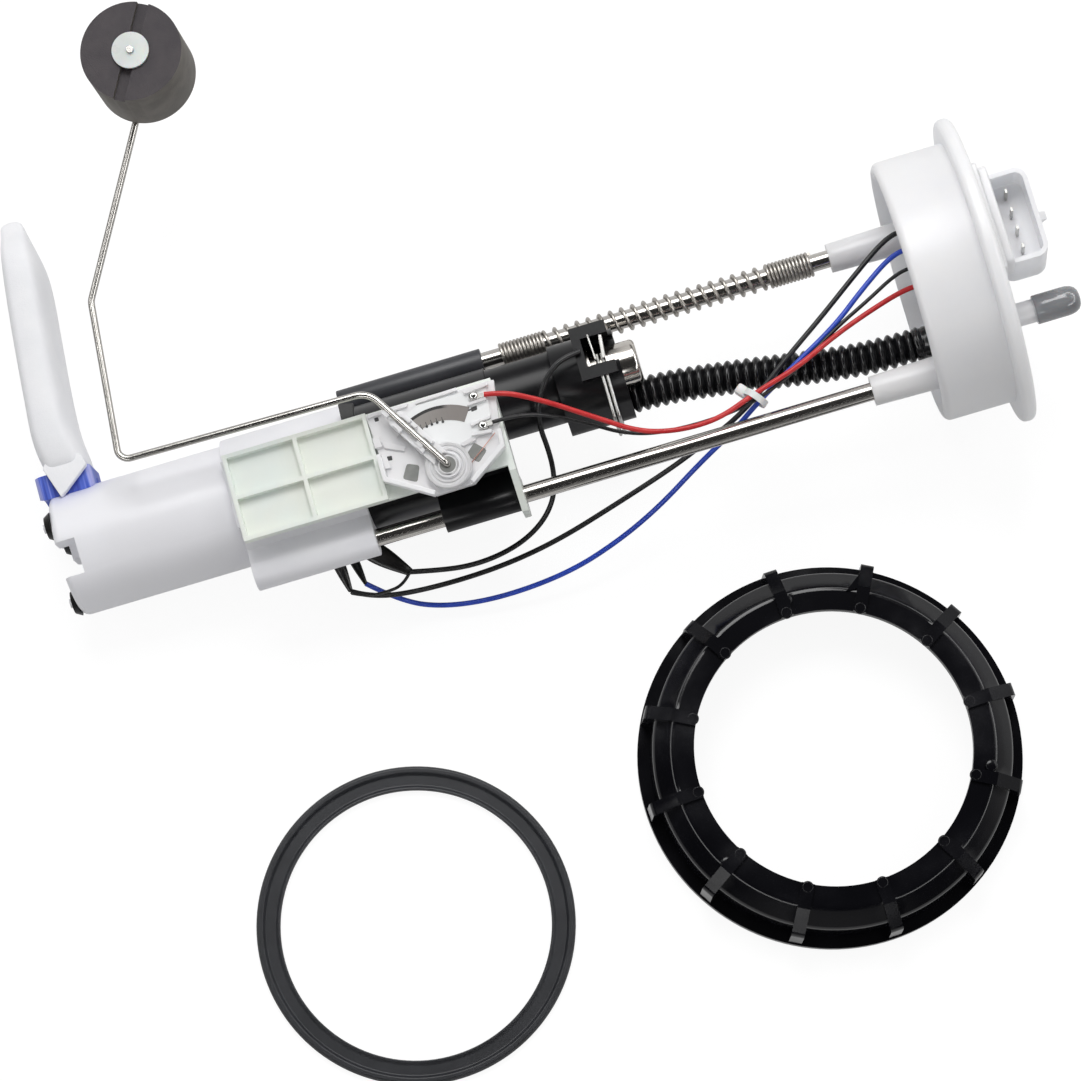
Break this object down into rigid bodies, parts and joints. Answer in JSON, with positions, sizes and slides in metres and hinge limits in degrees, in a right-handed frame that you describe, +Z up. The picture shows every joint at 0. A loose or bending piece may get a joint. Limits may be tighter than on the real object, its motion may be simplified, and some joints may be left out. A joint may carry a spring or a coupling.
{
  "type": "fuel pump module",
  "caption": "Lying in-tank fuel pump module: flange on two guide rods with a return spring, pump cup, level sender with float, strainer bag, and its lock ring and seal.",
  "frame": {"origin": "on the bench, under the middle of the object without its wiring", "axes": "+Z up from the bench; +X along the module from the cup towards the flange; +Y from the module's lower rod side towards the strainer and float, with the rings on the -Y side"},
  "size_m": [0.3768, 0.387, 0.1118],
  "materials": {
    "blade_tin": "tinned blades, satin",
    "plug_white": "matt white plugs",
    "flange_natural": "natural white moulded acetal, slightly translucent",
    "cap_vinyl": "soft glossy grey vinyl",
    "rod_steel": "ground and polished steel",
    "ring_steel": "dark spring steel",
    "spring_steel": "bright stainless spring wire",
    "cup_white": "matt white acetal",
    "nut_black": "black spring steel",
    "bracket_white": "white acetal, satin",
    "holder_black": "glossy black acetal",
    "tube_grey": "dark grey satin acetal",
    "housing_black": "glossy black acetal",
    "regulator_zinc": "drawn can with a warm zinc plating",
    "seal_rubber": "black nitrile",
    "clip_steel": "flat spring steel",
    "hose_black": "black corrugated nylon",
    "plate_natural": "pale greenish translucent nylon",
    "frame_white": "white acetal",
    "card_ceramic": "white ceramic card",
    "track_grey": "grey thick-film ink",
    "terminal_tin": "tinned brass with solder",
    "carrier_white": "white acetal",
    "contact_silver": "spring alloy strip",
    "float_wire_steel": "drawn stainless wire",
    "float_nitrile": "dark grey closed-cell nitrile",
    "washer_natural": "translucent nylon",
    "collar_blue": "blue nylon, its dye faded",
    "bag_felt": "white nylon felt",
    "isolator_rubber": "black nitrile",
    "inlet_black": "black filled plastic",
    "can_zinc": "zinc-plated tube",
    "magnet_grey": "sintered ferrite",
    "end_black": "black filled plastic",
    "brush_carbon": "pressed carbon",
    "rotor_steel": "stacked plates, wound and potted",
    "impeller_brown": "phenolic",
    "link_rubber": "fuel rubber",
    "ring_black": "glossy black nylon",
    "gasket_rubber": "black nitrile",
    "boot_black": "heat-shrink sleeve",
    "wire_black": "black insulation",
    "wire_blue": "blue insulation",
    "wire_red": "red insulation",
    "tie_white": "natural nylon"
  },
  "bodies": {
    "flange": {"flange": "flange_natural", "connector_pins": "blade_tin", "terminal_plugs": "plug_white", "upper_guide_rod": "rod_steel", "lower_guide_rod": "rod_steel", "rod_rings": "ring_steel", "return_spring": "spring_steel", "fuel_hose": "hose_black", "black_wire": "wire_black", "blue_wire": "wire_blue", "sender_black_wire": "wire_black", "sender_red_wire": "wire_red", "cable_tie": "tie_white"},
    "carriage": {"pump_cup": "cup_white", "push_nuts": "nut_black", "clamp_bracket": "bracket_white", "pump_holder": "holder_black", "upper_rod_tube": "tube_grey", "regulator_housing": "housing_black", "pressure_regulator": "regulator_zinc", "regulator_seal": "seal_rubber", "regulator_clip": "clip_steel", "sender_plate": "plate_natural", "sender_frame": "frame_white", "resistor_card": "card_ceramic", "resistor_track": "track_grey", "sender_terminals": "terminal_tin", "strainer_collar": "collar_blue", "strainer_bag": "bag_felt", "pump_isolator": "isolator_rubber", "pump_inlet_cover": "inlet_black", "pump_can": "can_zinc", "pump_magnets": "magnet_grey", "pump_end_cap": "end_black", "pump_brushes": "brush_carbon", "pump_outlet_hose": "link_rubber", "wire_boots": "boot_black", "regulator_wire": "wire_black"},
    "rotor": {"pump_rotor": "rotor_steel", "pump_impeller": "impeller_brown"},
    "float_arm": {"wiper_carrier": "carrier_white", "wiper_contact": "contact_silver", "float_wire": "float_wire_steel", "float_washer": "washer_natural"},
    "float": {"level_float": "float_nitrile"},
    "outlet_cap": {"outlet_cap": "cap_vinyl"},
    "lock_ring": {"lock_ring": "ring_black"},
    "seal_ring": {"seal_ring": "gasket_rubber"}
  },
  "joints": [
    {"name": "carriage_slide", "type": "slide", "parent": "flange", "child": "carriage", "axis": [0.9952, 0, 0.0982], "range_m": [0, 0.045], "stiffness_N_per_m": 110, "deforming": ["return_spring", "fuel_hose", "black_wire", "blue_wire", "sender_black_wire", "sender_red_wire", "cable_tie"]},
    {"name": "rotor_spin", "type": "hinge", "parent": "carriage", "child": "rotor", "pos_m": [-0.11735, 0.0231, 0.02873], "axis": [0.9952, 0, 0.0982], "continuous": true},
    {"name": "float_arm_pivot", "type": "hinge", "parent": "carriage", "child": "float_arm", "pos_m": [-0.04446, 0.0079, 0.06808], "axis": [0.0982, 0, -0.9952], "range_deg": [0, 50]},
    {"name": "float_turn", "type": "hinge", "parent": "float_arm", "child": "float", "pos_m": [-0.11181, 0.1755, 0.08153], "axis": [0.0982, 0, -0.9952], "continuous": true},
    {"name": "outlet_cap_pull", "type": "slide", "parent": "flange", "child": "outlet_cap", "axis": [0.9952, 0, 0.0982], "range_m": [0, 0.025]},
    {"name": "lock_ring_lift", "type": "slide", "parent": "flange", "child": "lock_ring", "axis": [0, 0, 1], "range_m": [0, 0.12]},
    {"name": "seal_ring_lift", "type": "slide", "parent": "flange", "child": "seal_ring", "axis": [0, 0, 1], "range_m": [0, 0.12]}
  ]
}
